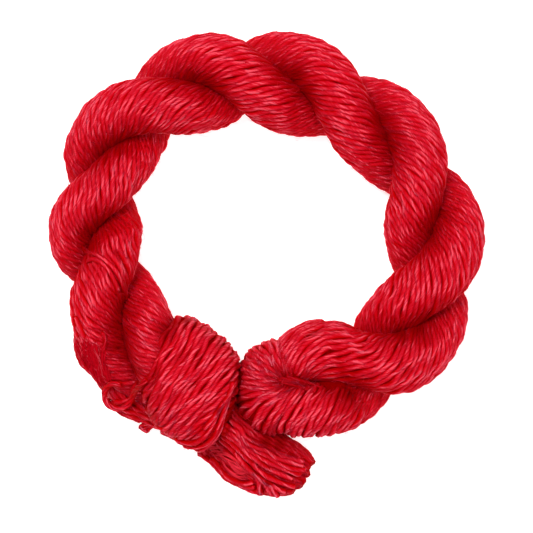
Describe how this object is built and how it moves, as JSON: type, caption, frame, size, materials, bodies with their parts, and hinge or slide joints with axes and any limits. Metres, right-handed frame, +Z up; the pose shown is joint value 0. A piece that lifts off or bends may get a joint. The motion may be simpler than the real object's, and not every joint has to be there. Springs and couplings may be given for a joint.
{
  "type": "skein of wool yarn",
  "caption": "Ring-shaped skein of plied wool yarn, twisted into a thick rope with its ends gripped in a knot, ready to unwind or display.",
  "frame": {"origin": "on the table, under the middle of the skein's bounding box", "axes": "+Z up, away from the table; +Y along the skein's longest side, away from its knot and tail"},
  "size_m": [0.1488, 0.1601, 0.0359],
  "materials": {
    "wool": "matt, plied yarn with a little fuzz"
  },
  "bodies": {
    "root": {"skein": "wool", "loose_end": "wool"}
  },
  "joints": []
}
